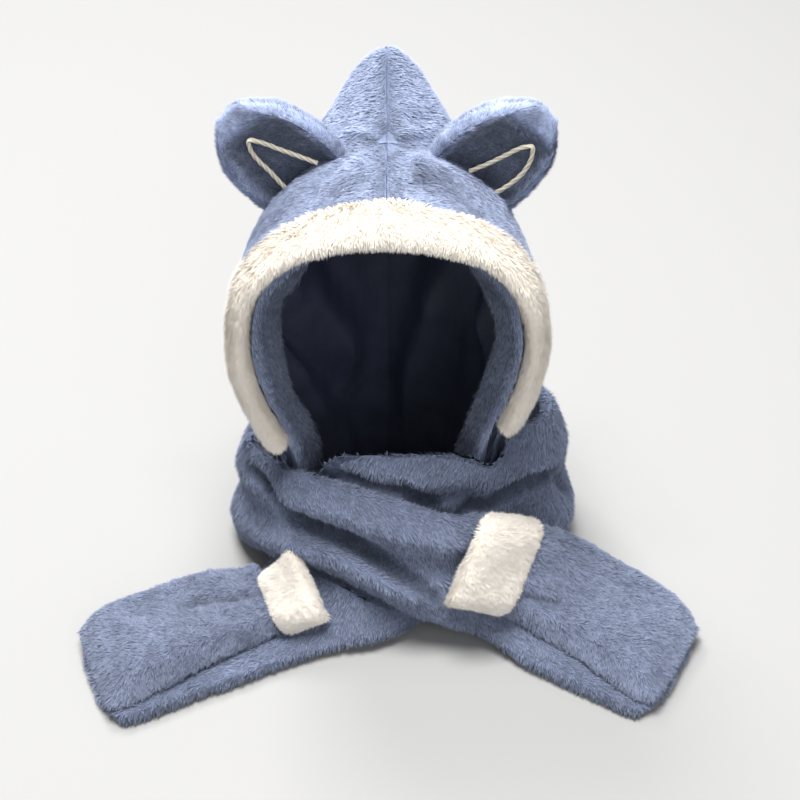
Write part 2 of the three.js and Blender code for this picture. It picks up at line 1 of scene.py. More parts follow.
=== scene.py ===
"""Looks of the animal hood scarf: plush skins with a pile of single blades, a folded smooth lining,
twisted ear cords, floor, light and camera. Shapes are worked out in millimetres in the row frame."""

import math
from types import SimpleNamespace

import bpy
import numpy as np
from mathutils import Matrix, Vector
from mathutils.bvhtree import BVHTree
from mathutils.kdtree import KDTree


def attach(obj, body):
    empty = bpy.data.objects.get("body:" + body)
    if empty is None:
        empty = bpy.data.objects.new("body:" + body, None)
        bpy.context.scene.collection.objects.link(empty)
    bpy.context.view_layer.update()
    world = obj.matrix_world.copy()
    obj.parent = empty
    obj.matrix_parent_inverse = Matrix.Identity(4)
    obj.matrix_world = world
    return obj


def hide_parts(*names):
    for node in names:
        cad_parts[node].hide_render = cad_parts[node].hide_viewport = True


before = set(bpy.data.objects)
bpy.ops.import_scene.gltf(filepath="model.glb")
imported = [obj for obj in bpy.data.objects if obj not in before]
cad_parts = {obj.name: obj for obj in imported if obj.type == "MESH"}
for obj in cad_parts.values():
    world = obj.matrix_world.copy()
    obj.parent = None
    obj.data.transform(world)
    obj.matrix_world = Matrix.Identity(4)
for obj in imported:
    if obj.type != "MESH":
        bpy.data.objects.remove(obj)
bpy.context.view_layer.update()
scene = bpy.context.scene

# Camera
FRAME_SIZE, SENSOR_WIDTH = 800, 36  # pixels and millimetres
FOCAL = 2082.0  # pixels
ELEVATION = math.radians(42)
DISTANCE = 1750.0
TARGET = np.array([9.3, 55.0, 150.5])
BACK = np.array([0.0, -math.cos(ELEVATION), math.sin(ELEVATION)])
SIDEWAYS = np.array([1.0, 0.0, 0.0])
UP = np.cross(BACK, SIDEWAYS)
EYE = TARGET + BACK * DISTANCE

camera = bpy.data.objects.new("camera", bpy.data.cameras.new("camera"))
scene.collection.objects.link(camera)
camera.location = EYE / 1000
camera.rotation_mode = "QUATERNION"
camera.rotation_quaternion = Vector(-BACK).to_track_quat("-Z", "Y")
camera.data.sensor_width = SENSOR_WIDTH
camera.data.lens = FOCAL / FRAME_SIZE * SENSOR_WIDTH
camera.data.clip_end = 50
scene.camera = camera

# Sizes, as in the part
OFFSET = np.array([-0.687, 55.051, -1.5])  # from the ring's frame to the row frame
HOOD_WIDTH, HOOD_DEPTH, HOOD_HEIGHT, NECKLINE_HEIGHT, HOOD_WALL = 232, 216, 381, 80, 8
NECK_WIDTH, NECK_DEPTH = 200, 160
TRIM_WIDTH, TRIM_THICKNESS = 44, 20
LINING_WALL, LINING_FOLD = 2.5, 15
EAR_WIDTH, EAR_HEIGHT, EAR_PAD, EAR_CUP = 84, 84, 12, 12
PIPING_DIAMETER = 3.6
SCARF_WIDTH, SCARF_THICKNESS = 140, 18
GAP = 0.3
LEFT, RIGHT = -1, 1
FRONT, REAR = 1, -1
SIDES = (("left", LEFT), ("right", RIGHT))


# Numbers
def lerp(a, b, t):
    return a + (b - a) * t


def smoothstep(x, low, high):
    t = np.clip((x - low) / (high - low), 0, 1)
    return t * t * (3 - 2 * t)


def unit(v):
    return v / np.maximum(np.linalg.norm(v, axis=-1, keepdims=True), 1e-9)


def dot(a, b):
    return (a * b).sum(-1, keepdims=True)


def power(x, k):
    """A power that keeps the sign, to square off a circle."""
    return np.sign(x) * np.abs(x) ** k


def bell(away, width):
    return np.exp(-((away / width) ** 2))


def noise(p, size, seed):
    """Smooth noise from -1 to 1 at points p, with cells of that size."""
    q = p / size
    cell = np.floor(q).astype(np.int64)
    f = q - cell
    f = f * f * (3 - 2 * f)
    total = np.zeros(p.shape[:-1])
    for k in range(8):
        corner = [(k >> a) & 1 for a in range(3)]
        x, y, z = (cell[..., a] + corner[a] for a in range(3))
        h = (x * 374761393 + y * 668265263 + z * 1440662683 + seed * 974711) & 0xFFFFFFFF
        h = ((h ^ (h >> 13)) * 1274126177) & 0xFFFFFFFF
        share = np.prod([f[..., a] if corner[a] else 1 - f[..., a] for a in range(3)], axis=0)
        total += share * (((h ^ (h >> 16)) & 0xFFFF) / 32767.5 - 1)
    return total


def noise3(p, size, seed):
    return np.stack([noise(p, size, seed + k) for k in range(3)], -1)


def table(text):
    return np.array([[float(x) for x in row.split()] for row in text.strip().splitlines()])


def column(rows, k, t, ending="straight"):
    """Catmull-Rom value of column k at t, which runs 0 to 1 over the rows."""
    values = rows[:, k]
    after = {
        "turned": -values[-2],
        "mirrored": values[-2],
        "straight": 2 * values[-1] - values[-2],
    }[ending]
    padded = np.concatenate([[2 * values[0] - values[1]], values, [after]])
    place = np.clip(t, 0, 1) * (len(values) - 1)
    i = np.minimum(np.floor(place).astype(int), len(values) - 2)
    f = place - i
    a, b, c, d = (padded[i + j] for j in range(4))
    return b + 0.5 * f * (c - a + f * (2 * a - 5 * b + 4 * c - d + f * (3 * (b - c) + d - a)))


# Hood surface
# frontX frontY frontZ sideX rearX backY backZ, from the neckline up to the crown seam
HOOD_LEVELS = table("""
0.82 -0.8 0.04 1.12 0.78 1.08 -0.17
0.85 -0.82 0.21 1.14 0.84 1.02 0.11
0.96 -0.84 0.38 1.16 0.92 1.06 0.36
1.0 -0.85 0.55 1.14 0.93 1.14 0.55
0.92 -0.82 0.68 0.98 0.8 1.15 0.73
0.69 -0.76 0.755 0.56 0.61 1.03 0.88
0.36 -0.73 0.785 0.25 0.55 0.8 0.97
0.0 -0.72 0.793 0.0 0.0 0.56 1.045
""")
EDGE_SHARE, EAR_SEAM, SEAM_SWEEP = 0.02, 0.4, 0.07


def seam_place(v):
    return EAR_SEAM + SEAM_SWEEP * smoothstep(v, 0.75, 1)


def hood_skin(side, u, v):
    """Point on the hood's outside: u from the front edge to the back seam, v up from the neckline."""
    u, v = np.broadcast_arrays(np.asarray(u, float), np.asarray(v, float))
    full = smoothstep(v, 0, 0.42)
    half_width, half_depth = lerp(NECK_WIDTH, HOOD_WIDTH, full) / 2, lerp(NECK_DEPTH, HOOD_DEPTH, full) / 2
    front_x, side_x, rear_x = (column(HOOD_LEVELS, k, v, "turned") for k in (0, 3, 4))
    front_y, back_y, front_z, back_z = (column(HOOD_LEVELS, k, v, "mirrored") for k in (1, 5, 2, 6))
    x = (1 - u) ** 3 * front_x + 3 * (1 - u) ** 2 * u * side_x + 3 * (1 - u) * u**2 * rear_x
    pulls = (front_y, lerp(front_y, back_y, 0.34), lerp(front_y, back_y, 0.86), back_y)
    shares = ((1 - u) ** 3, 3 * (1 - u) ** 2 * u, 3 * (1 - u) * u**2, u**3)
    y = sum(s * p for s, p in zip(shares, pulls))
    dip = 0.02 * bell(u - seam_place(1.0), 0.2) * smoothstep(v, 0.55, 1)
    rounded = 0.05 * (np.maximum(0, u - 0.8) / 0.2) ** 2 * smoothstep(v, 0.7, 1)
    z = NECKLINE_HEIGHT + (lerp(front_z, back_z, u) - dip - rounded) * HOOD_HEIGHT
    return np.stack([side * x * half_width, y * half_depth, z], -1) + OFFSET


def hood_normal(side, u, v):
    step = 0.004
    along = hood_skin(side, np.minimum(u + step, 1), v) - hood_skin(side, np.maximum(u - step, 0), v)
    up = hood_skin(side, u, np.minimum(v + step, 0.999)) - hood_skin(side, u, np.minimum(v, 0.995) - step)
    return unit(np.cross(along, up)) * side


def thinned(u, v):
    """How much of their thickness the hood's layers keep, as they thin out into the tip."""
    return 1 - 0.7 * smoothstep(u, 0.7, 1) * smoothstep(v, 0.7, 1)


def hood_at(side, u, v, height, apart=GAP / 2):
    p = hood_skin(side, u, v) + hood_normal(side, u, v) * (height * thinned(u, v))[..., None]
    p[..., 0] = side * np.maximum(side * (p[..., 0] - OFFSET[0]), apart) + OFFSET[0]
    return p


def back_from_edge(side, v, length):
    """The share back from the front edge that lies that length from it, at each level of v."""
    u = np.linspace(0, 0.6, 61)
    found = []
    for level, far in zip(v, np.broadcast_to(length, v.shape)):
        p = hood_skin(side, u, level)
        gone = np.concatenate([[0], np.cumsum(np.linalg.norm(np.diff(p, axis=0), axis=1))])
        found.append(np.interp(far, gone, u))
    return np.array(found)


# Skins
def halved(a, b, c, d, flip=False):
    """Two triangles for each quad, from the numbers of its corner points."""
    if flip:
        b, d = d, b
    return np.concatenate([np.stack([a, b, c], 1), np.stack([a, c, d], 1)])


def quads(k, flip=False):
    """The triangles of a grid of point numbers."""
    return halved(k[:-1, :-1].ravel(), k[1:, :-1].ravel(), k[1:, 1:].ravel(), k[:-1, 1:].ravel(), flip)


def strip_between(first, second, flip=False):
    return halved(first[:-1], first[1:], second[1:], second[:-1], flip)


def turned_out(points, tris):
    """The triangles of a closed skin, turned so that they face outward."""
    a, b, c = (points[tris[:, j]] for j in range(3))
    return tris[:, ::-1] if np.einsum("ij,ij", a, np.cross(b, c)) < 0 else tris


def skin_of(points, tris, furry=None, uv=None):
    """A skin: points, triangles, normals, and per point the pile's density, length, sink, painted shade
    and way.
    """
    made = SimpleNamespace(points=np.asarray(points, float), tris=np.asarray(tris))
    count = len(made.points)
    made.furry = np.ones(count) if furry is None else furry
    made.long = np.ones(count)
    made.sink = np.ones(count)
    made.shade = np.ones(count)
    made.nap = np.tile([0.0, 0.0, -1.0], (count, 1))
    made.uv = uv if uv is not None else np.zeros((count, 2))
    renormal(made)
    return made


def renormal(skin):
    """Point normals. Where a furry face meets a bare rim, only the furry side counts."""
    a, b, c = (skin.points[skin.tris[:, k]] for k in range(3))
    face = np.cross(b - a, c - a) * np.where((skin.furry[skin.tris] > 0).all(1), 1, 1e-4)[:, None]
    normals = np.zeros_like(skin.points)
    for k in range(3):
        for axis in range(3):
            normals[:, axis] += np.bincount(skin.tris[:, k], face[:, axis], len(normals))
    skin.normals = unit(normals)


def shell(outer, inner):
    """A closed shell from two grids of points, with the outer one furry."""
    rows, columns = outer.shape[:2]
    count = rows * columns
    k = np.arange(count).reshape(rows, columns)
    tris = [quads(k), quads(k + count, flip=True)]
    for edge, flip in ((k[0], False), (k[-1], True), (k[:, 0], True), (k[:, -1], False)):
        tris.append(strip_between(edge, edge + count, flip))
    points = np.concatenate([outer.reshape(-1, 3), inner.reshape(-1, 3)])
    tris = turned_out(points, np.concatenate(tris))
    s, t = np.meshgrid(np.linspace(0, 1, rows), np.linspace(0, 1, columns), indexing="ij")
    uv = np.stack([t, s], -1).reshape(-1, 2)
    uv = np.concatenate([uv * [1, 0.49], uv * [1, 0.49] + [0, 0.51]])
    return skin_of(points, tris, np.concatenate([np.ones(count), np.zeros(count)]), uv)


def tube(ring):
    """A closed tube from a grid of points, first index round it and last along it, with capped ends."""
    around, along = ring.shape[:2]
    count = around * along
    k = np.arange(count).reshape(around, along)
    wrapped = np.concatenate([k, k[:1]])
    tris = [quads(wrapped)]
    points = [ring.reshape(-1, 3), ring[:, 0].mean(0, keepdims=True), ring[:, -1].mean(0, keepdims=True)]
    first, last = wrapped[:, 0], wrapped[:, -1]
    for one, other, centre in ((first[1:], first[:-1], count), (last[:-1], last[1:], count + 1)):
        tris.append(np.stack([one, other, np.full(around, centre)], 1))
    points = np.concatenate(points)
    tris = turned_out(points, np.concatenate(tris))
    s, t = np.meshgrid(np.linspace(0, 1, around), np.linspace(0, 1, along), indexing="ij")
    uv = np.concatenate([np.stack([t, s], -1).reshape(-1, 2), [[0, 0], [1, 1]]])
    return skin_of(points, tris, uv=uv)


SHRINK, REGROW = 0.6, -0.62  # steps of the smoothing, so that it keeps the volume


def remeshed(node, voxel, rounds):
    """The CAD solid of a soft piece, remeshed and smoothed into a padded skin."""
    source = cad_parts[node]
    copy = bpy.data.objects.new("remesh", source.data.copy())
    scene.collection.objects.link(copy)
    remesh = copy.modifiers.new("remesh", "REMESH")
    remesh.mode = "VOXEL"
    remesh.voxel_size = voxel / 1000
    mesh = bpy.data.meshes.new_from_object(copy.evaluated_get(bpy.context.evaluated_depsgraph_get()))
    bpy.data.objects.remove(copy)
    mesh.calc_loop_triangles()
    points = np.zeros(len(mesh.vertices) * 3, np.float32)
    mesh.vertices.foreach_get("co", points)
    points = points.reshape(-1, 3).astype(float) * 1000
    tris = np.zeros(len(mesh.loop_triangles) * 3, np.int32)
    mesh.loop_triangles.foreach_get("vertices", tris)
    edges = np.zeros(len(mesh.edges) * 2, np.int32)
    mesh.edges.foreach_get("vertices", edges)
    bpy.data.meshes.remove(mesh)
    edges = edges.reshape(-1, 2)
    both = np.concatenate([edges, edges[:, ::-1]])
    degree = np.bincount(both[:, 0], minlength=len(points))[:, None]
    for k in range(2 * rounds):
        mean = np.stack([np.bincount(both[:, 0], points[both[:, 1], a], len(points)) for a in range(3)], 1)
        points = points + (SHRINK if k % 2 == 0 else REGROW) * (mean / degree - points)
    return skin_of(points, tris.reshape(-1, 3))


def seen_at(skin, pixels):
    """The points of a skin that the photograph's camera sees at these pixels."""
    tree = BVHTree.FromPolygons(skin.points.tolist(), skin.tris.tolist())
    found = []
    for x, y in pixels:
        way = -BACK * FOCAL + SIDEWAYS * (x - FRAME_SIZE / 2) + UP * (FRAME_SIZE / 2 - y)
        hit = tree.ray_cast(Vector(EYE), Vector(way).normalized())[0]
        if hit is not None:
            found.append(np.array(hit))
    return np.array(found)


def away_from(points, line):
    """Distance of points from a polyline, and how far along it the nearest point lies, 0 to 1."""
    best, place = np.full(len(points), 1e9), np.zeros(len(points))
    for k, (a, b) in enumerate(zip(line[:-1], line[1:])):
        t = np.clip(((points - a) @ (b - a)) / max((b - a) @ (b - a), 1e-9), 0, 1)
        away = np.linalg.norm(points - a - t[:, None] * (b - a), axis=1)
        near = away < best
        best[near], place[near] = away[near], ((k + t) / (len(line) - 1))[near]
    return best, place


def press(skin, pixels, width, depth, painted_darkening=0.0, shorter=0.0):
    """Presses a crease into a skin along a line in the photograph, with painted shade along it. A negative
    depth raises a ridge.
    """
    line = seen_at(skin, pixels)
    if len(line) < 2:
        return
    away, place = away_from(skin.points, line)
    near = bell(away, width) * (skin.furry > 0)
    strength = near * smoothstep(place, -0.02, 0.15) * smoothstep(1 - place, -0.02, 0.15)
    skin.points = skin.points - skin.normals * (depth * strength)[:, None]
    # Painted shade along the line
    skin.shade = skin.shade * (1 - painted_darkening * near)
    skin.long = skin.long * (1 - shorter * strength)
    renormal(skin)


def lumpy(skin, big, small, seed):
    """Uneven filling."""
    height = big * noise(skin.points, 42, seed) + small * noise(skin.points, 17, seed + 7)
    skin.points = skin.points + skin.normals * (height * (skin.furry > 0))[:, None]
    renormal(skin)


# Pile
ROOT_DEPTH = 0.5  # how deep a blade starts below its skin
FLOOR_CLEARANCE = 0.4


def blades(skin, count, length, width, lean, seed, soft=0.5, curl=1.0):
    """Single blades of pile: each a triangle that leans along the nap, curled by noise into small locks."""
    rng = np.random.default_rng(seed)
    corners = [skin.points[skin.tris[:, k]] for k in range(3)]
    area = np.linalg.norm(np.cross(corners[1] - corners[0], corners[2] - corners[0]), axis=1) / 2
    weight = area * skin.furry[skin.tris].mean(1)
    pick = rng.choice(len(area), count, p=weight / weight.sum())
    r, q = np.sqrt(rng.random(count)), rng.random(count)
    shares = np.stack([1 - r, r * (1 - q), r * q], 1)

    def at(values):
        return np.einsum("nk,nk...->n...", shares, values[skin.tris[pick]])

    root, normal, nap = at(skin.points), unit(at(skin.normals)), at(skin.nap)
    swirl = curl * (0.35 * noise3(root, 30, seed + 1) + 0.38 * noise3(root, 5, seed + 5))
    flow = nap + swirl + rng.normal(0, 0.14, (count, 3))
    flow = unit(flow - normal * dot(flow, normal))
    angle = np.clip(lean + 0.16 * noise(root, 5.5, seed + 9) + rng.normal(0, 0.09, count), 0.3, 1.45)[:, None]
    way = normal * np.cos(angle) + flow * np.sin(angle)
    size = length * at(skin.long) * (0.72 + 0.5 * rng.random(count))
    across = unit(np.cross(way, normal)) * (width / 2) * (0.8 + 0.5 * rng.random((count, 1)))
    base = root - normal * ROOT_DEPTH
    tip = base + way * size[:, None]
    tip[:, 2] = np.maximum(tip[:, 2], FLOOR_CLEARANCE)
    points = np.stack([base - across, base + across, tip], 1).reshape(-1, 3)
    face = unit(normal - way * dot(way, normal))
    lit = unit((1.05 - soft) * face + soft * normal + 0.16 * noise3(root, 3.4, seed + 13))
    tint = np.clip(0.5 + 0.3 * noise(root, 6, seed + 17) + rng.normal(0, 0.2, count), 0, 1)
    shade = at(skin.shade)
    height = np.tile([0.0, 0.0, 1.0], count)
    coat = np.stack([height, np.repeat(tint, 3), np.repeat(shade, 3), np.ones(3 * count)], 1)
    uv = at(skin.uv)
    step = 0.004 * rng.normal(0, 1, (count, 2))
    uvs = np.stack([uv, uv + step[:, ::-1] * [1, -1], uv + step], 1).reshape(-1, 2)
    return points, np.repeat(lit, 3, axis=0), coat, np.clip(uvs, 0, 1)


def piece(name, skin, material, nodes, pile=None, rest_tone=0.35, sunk=3.0):
    """Makes the object of a skin with its pile, in metres, in the place of its CAD nodes. The skin is sunk
    by about the height of the pile, so that the pile ends where the solid does. Its vertex colour holds the
    height up a blade in red, each blade's tint in green and the painted shade in blue."""
    if pile:
        skin.points = skin.points - skin.normals * (sunk * skin.sink * (skin.furry > 0))[:, None]
    # The bare skin takes a tone low on the ramp from root to tip: painted shade under the pile
    tone = np.full(len(skin.points), rest_tone)
    coat = np.stack([tone, np.full(len(tone), 0.5), skin.shade, np.ones(len(tone))], 1)
    points, normals, tris, uvs = skin.points, skin.normals, skin.tris, skin.uv
    if pile:
        more, lit, paint, where = blades(skin, **pile)
        tris = np.concatenate([tris, np.arange(len(more)).reshape(-1, 3) + len(points)])
        points, normals = np.concatenate([points, more]), np.concatenate([normals, lit])
        coat, uvs = np.concatenate([coat, paint]), np.concatenate([uvs, where])
    mesh = bpy.data.meshes.new(name)
    mesh.vertices.add(len(points))
    mesh.vertices.foreach_set("co", (points / 1000).astype(np.float32).ravel())
    mesh.loops.add(tris.size)
    mesh.loops.foreach_set("vertex_index", tris.astype(np.int32).ravel())
    mesh.polygons.add(len(tris))
    mesh.polygons.foreach_set("loop_start", np.arange(0, tris.size, 3, dtype=np.int32))
    mesh.update(calc_edges=True)
    paint = mesh.color_attributes.new("coat", "FLOAT_COLOR", "POINT")
    paint.data.foreach_set("color", coat.astype(np.float32).ravel())
    layer = mesh.uv_layers.new(name="OFBake")
    layer.data.foreach_set("uv", uvs[tris.ravel()].astype(np.float32).ravel())
    mesh.polygons.foreach_set("use_smooth", np.ones(len(tris), bool))
    mesh.normals_split_custom_set_from_vertices(normals.tolist())
    mesh.materials.append(material)
    obj = bpy.data.objects.new(name, mesh)
    scene.collection.objects.link(obj)
    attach(obj, "root")
    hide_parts(*nodes)
    return obj


# Materials
NOISE_REACH = (0.3, 0.7)  # what a noise texture mostly stays in


def material_of(name, roughness, sheen, sheen_tint, specular=0.3):
    material = bpy.data.materials.new(name)
    material.use_nodes = True
    nodes, links = material.node_tree.nodes, material.node_tree.links
    shader = nodes["Principled BSDF"]
    shader.inputs["Roughness"].default_value = roughness
    shader.inputs["Sheen Weight"].default_value = sheen
    shader.inputs["Sheen Roughness"].default_value = 0.45
    shader.inputs["Sheen Tint"].default_value = (*sheen_tint, 1)
    shader.inputs["Specular IOR Level"].default_value = specular
    return material, nodes, links, shader


def spread(nodes, links, value, low, high, reach=(0, 1)):
    """A value that goes from low to high while the given one goes through its reach."""
    spreader = nodes.new("ShaderNodeMapRange")
    for name, number in zip(("From Min", "From Max", "To Min", "To Max"), (*reach, low, high)):
        spreader.inputs[name].default_value = number
    links.new(value, spreader.inputs["Value"])
    return spreader.outputs[0]


def noise_of(nodes, links, place, scale, detail):
    texture = nodes.new("ShaderNodeTexNoise")
    texture.inputs["Scale"].default_value = scale
    texture.inputs["Detail"].default_value = detail
    links.new(place.outputs["Object"], texture.inputs["Vector"])
    return texture.outputs["Fac"]


def coat_of(nodes, links):
    """The vertex colour, split into its channels."""
    coat = nodes.new("ShaderNodeAttribute")
    coat.attribute_name = "coat"
    split = nodes.new("ShaderNodeSeparateColor")
    links.new(coat.outputs["Color"], split.inputs["Color"])
    return split


def bumpy(nodes, links, shader, height, strength, distance):
    bump = nodes.new("ShaderNodeBump")
    bump.inputs["Strength"].default_value = strength
    bump.inputs["Distance"].default_value = distance
    links.new(height, bump.inputs["Height"])
    links.new(bump.outputs["Normal"], shader.inputs["Normal"])


def mix_of(nodes, links, kind, factor, a, b):
    mix = nodes.new("ShaderNodeMix")
    mix.data_type = "RGBA"
    mix.blend_type = kind
    for k, value in ((0, factor), (6, a), (7, b)):
        if isinstance(value, bpy.types.NodeSocket):
            links.new(value, mix.inputs[k])
        elif k == 0:
            mix.inputs[0].default_value = value
        else:
            mix.inputs[k].default_value = (*value, 1)
    return mix.outputs[2]


def plush(name, root, middle, tip, sheen=0.4, fleck=0.35):
    """Pile fabric: light at the tips and darker at the roots as painted shade deep in the pile, with a tint
    per blade, worn, uneven patches and the painted shade of each skin.
    """
    material, nodes, links, shader = material_of(name, 0.92, sheen, tip, 0.15)
    coat = coat_of(nodes, links)
    ramp = nodes.new("ShaderNodeValToRGB")
    stops = ramp.color_ramp.elements
    stops[0].color, stops[1].color = (*root, 1), (*tip, 1)
    stops.new(0.5).color = (*middle, 1)
    links.new(coat.outputs["Red"], ramp.inputs["Fac"])
    place = nodes.new("ShaderNodeTexCoord")
    patches = noise_of(nodes, links, place, 22, 5)
    flecks = noise_of(nodes, links, place, 260, 3)
    tint = spread(nodes, links, coat.outputs["Green"], 1 - fleck, 1 + 0.55 * fleck)
    worn = spread(nodes, links, patches, 1 - 0.33 * fleck, 1 + 0.27 * fleck, NOISE_REACH)
    fine = spread(nodes, links, flecks, 1 - 0.5 * fleck, 1 + 0.4 * fleck, NOISE_REACH)
    colour = ramp.outputs["Color"]
    # Each blade's tint, the wear, the flecks, then the painted shade held in the vertex colour's blue
    for factor in (tint, worn, fine, coat.outputs["Blue"]):
        colour = mix_of(nodes, links, "MULTIPLY", 1.0, colour, factor)
    links.new(colour, shader.inputs["Base Color"])
    bumpy(nodes, links, shader, flecks, 0.25, 0.0012)
    return material


def smooth_cloth(name, dark, light):
    """Knitted lining: fine ribs, a soft gloss and cloudy shades."""
    material, nodes, links, shader = material_of(name, 0.5, 0.3, light, 0.35)
    place = nodes.new("ShaderNodeTexCoord")
    ribs = nodes.new("ShaderNodeTexWave")
    ribs.inputs["Scale"].default_value = 330
    ribs.inputs["Distortion"].default_value = 1.5
    ribs.inputs["Detail"].default_value = 2
    links.new(place.outputs["Object"], ribs.inputs["Vector"])
    cloudy = noise_of(nodes, links, place, 30, 6)
    colour = mix_of(nodes, links, "MIX", cloudy, dark, light)
    colour = mix_of(nodes, links, "MULTIPLY", 0.25, colour, ribs.outputs["Color"])
    links.new(colour, shader.inputs["Base Color"])
    links.new(spread(nodes, links, cloudy, 0.42, 0.62), shader.inputs["Roughness"])
    bumpy(nodes, links, shader, ribs.outputs["Fac"], 0.3, 0.0006)
    return material


def cord_cloth(name, dark, light):
    """Twisted cotton cord: painted shade between the strands, with fine threads."""
    material, nodes, links, shader = material_of(name, 0.8, 0.25, light, 0.3)
    coat = coat_of(nodes, links)
    place = nodes.new("ShaderNodeTexCoord")
    threads = nodes.new("ShaderNodeTexNoise")
    threads.inputs["Scale"].default_value = 900
    links.new(place.outputs["Object"], threads.inputs["Vector"])
    colour = mix_of(nodes, links, "MIX", coat.outputs["Blue"], dark, light)
    colour = mix_of(nodes, links, "MULTIPLY", 0.3, colour, threads.outputs["Color"])
    links.new(colour, shader.inputs["Base Color"])
    bumpy(nodes, links, shader, threads.outputs["Fac"], 0.4, 0.0004)
    return material


# Root colours darker than the tips: painted shade deep in the pile
BLUE_ROOT_SHADED, BLUE_MIDDLE, BLUE_TIP = (0.13, 0.158, 0.258), (0.285, 0.34, 0.5), (0.5, 0.57, 0.76)
CREAM_ROOT_SHADED, CREAM_MIDDLE, CREAM_TIP = (0.92, 0.83, 0.71), (0.96, 0.9, 0.81), (0.985, 0.945, 0.88)

blue = plush("blue plush", BLUE_ROOT_SHADED, BLUE_MIDDLE, BLUE_TIP, fleck=0.3)
cream = plush("cream plush", CREAM_ROOT_SHADED, CREAM_MIDDLE, CREAM_TIP, sheen=0.2, fleck=0.05)
lining = smooth_cloth("navy lining", (0.016, 0.02, 0.038), (0.08, 0.094, 0.16))
# The cord's darker colour is painted shade between its strands
cord = cord_cloth("cream cord", (0.52, 0.47, 0.36), (0.85, 0.8, 0.67))

BLUE_PILE = {"length": 6.0, "width": 1.05, "lean": 1.15}
CREAM_PILE = {"length": 6.0, "width": 0.95, "lean": 0.95, "soft": 0.8, "curl": 0.6}
BLUE, CREAM = (blue, "blue_plush", BLUE_PILE), (cream, "cream_plush", CREAM_PILE)


# Hood
SEAM_DEPTH, SEAM_WIDTH = 3.2, 0.027  # of a seam's groove: millimetres, and a share of the hood's depth
TRIM_AHEAD = 0.22  # how much of the trim's width stands in front of the hood's front edge
TRIM_MIDDLE = TRIM_WIDTH * (0.5 - TRIM_AHEAD)
TRIM_REACH = TRIM_MIDDLE + TRIM_WIDTH / 2
CROWN_LENGTH = 170  # millimetres for the whole of v, near the crown
DIMPLE_DEPTH, DIMPLE_WIDTH = 4.0, 9
PUCKER_COUNT, PUCKER_HEIGHT, PUCKER_RADIUS, PUCKER_WIDTH = 8, 1.3, 18, 10


def groove(share):
    return SEAM_DEPTH * bell(share, SEAM_WIDTH)


def hood_nap(side, u, v):
    """The pile runs down from the crown and a little forward."""
    down = hood_skin(side, u, np.maximum(v - 0.03, 0)) - hood_skin(side, u, np.minimum(v + 0.03, 1))
    forward = hood_skin(side, np.maximum(u - 0.03, 0), v) - hood_skin(side, np.minimum(u + 0.03, 1), v)
    return unit(unit(down) + 0.35 * unit(forward))


def hood_panel(side, front):
    """A panel before or behind the ear seam, with grooves at its seams and a pucker where they cross."""
    t = np.linspace(0, 1, 90)
    if front:
        reach = (TRIM_REACH - 5) * smoothstep(t, 0.04, 0.09) + 3  # the panel ends under the trim
        start, end, columns = back_from_edge(side, t, reach), seam_place(t), 40
    else:
        start, end, columns = seam_place(t), np.ones_like(t), 60
    s = np.linspace(0, 1, columns)
    gap = GAP / HOOD_DEPTH
    u = lerp(start[:, None] + gap, end[:, None] - (gap if front else 0), s[None])
    v = np.broadcast_to(t[:, None], u.shape)
    shares = (np.abs(u - seam_place(v)), 1 - u, 0.8 * (1 - v))
    height = -np.maximum.reduce([groove(shares[0]), 0.6 * groove(shares[1]), groove(shares[2])])
    across, down = (u - seam_place(v)) * HOOD_DEPTH, (1 - v) * CROWN_LENGTH
    r, angle = np.hypot(across, down), np.arctan2(down, across)
    puckers = PUCKER_HEIGHT * np.cos(PUCKER_COUNT * angle) * bell(r - PUCKER_RADIUS, PUCKER_WIDTH)
    height = height - DIMPLE_DEPTH * bell(r, DIMPLE_WIDTH) + puckers
    made = shell(hood_at(side, u, v, height), hood_at(side, u, v, np.full_like(u, -float(HOOD_WALL))))
    near = np.minimum.reduce(shares) * HOOD_DEPTH
    at_tip = smoothstep(v, 0.95, 1) * smoothstep(u, 0.8, 1)
    made.long[: u.size] = ((1 - 0.3 * bell(near, 4)) * (1 - 0.6 * at_tip)).ravel()
    # Painted shade in the seam grooves and in the dimple where the seams cross
    made.shade[: u.size] = (1 - 0.3 * bell(near, 3.8) - 0.15 * bell(r, 8)).ravel()
    made.sink[: u.size] = thinned(u, v).ravel()
    made.nap[: u.size] = hood_nap(side, u, v).reshape(-1, 3)
    return made


# A ridge and a crease from the crossing of the seams, as lines in the photograph, each with its width, its
# depth and how much painted shade darkens it
CROWN_FOLDS = {
    LEFT: (
        ([(370, 160), (345, 176), (315, 190)], 8, -4, 0.0),
        ([(372, 176), (350, 190), (330, 204)], 7, 3, 0.12),
    ),
    RIGHT: (
        ([(404, 158), (430, 166), (460, 178), (490, 196), (508, 216)], 8, -7, 0.0),
        ([(408, 176), (440, 188), (470, 203), (490, 224)], 7, 6, 0.25),
    ),
}

for word, side in SIDES:
    panel = hood_panel(side, True)
    lumpy(panel, 1.6, 0.7, 11 + side)
    for fold in CROWN_FOLDS[side]:
        press(panel, *fold)
    piece(f"plush_hood_front_{word}", panel, blue, [f"hood_front_{word}"],
          {"count": 46000, "seed": 21 + side, **BLUE_PILE})
    panel = hood_panel(side, False)
    lumpy(panel, 2.0, 0.8, 31 + side)
    piece(f"plush_hood_back_{word}", panel, blue, [f"hood_back_{word}"],
          {"count": 70000, "seed": 41 + side, **BLUE_PILE})

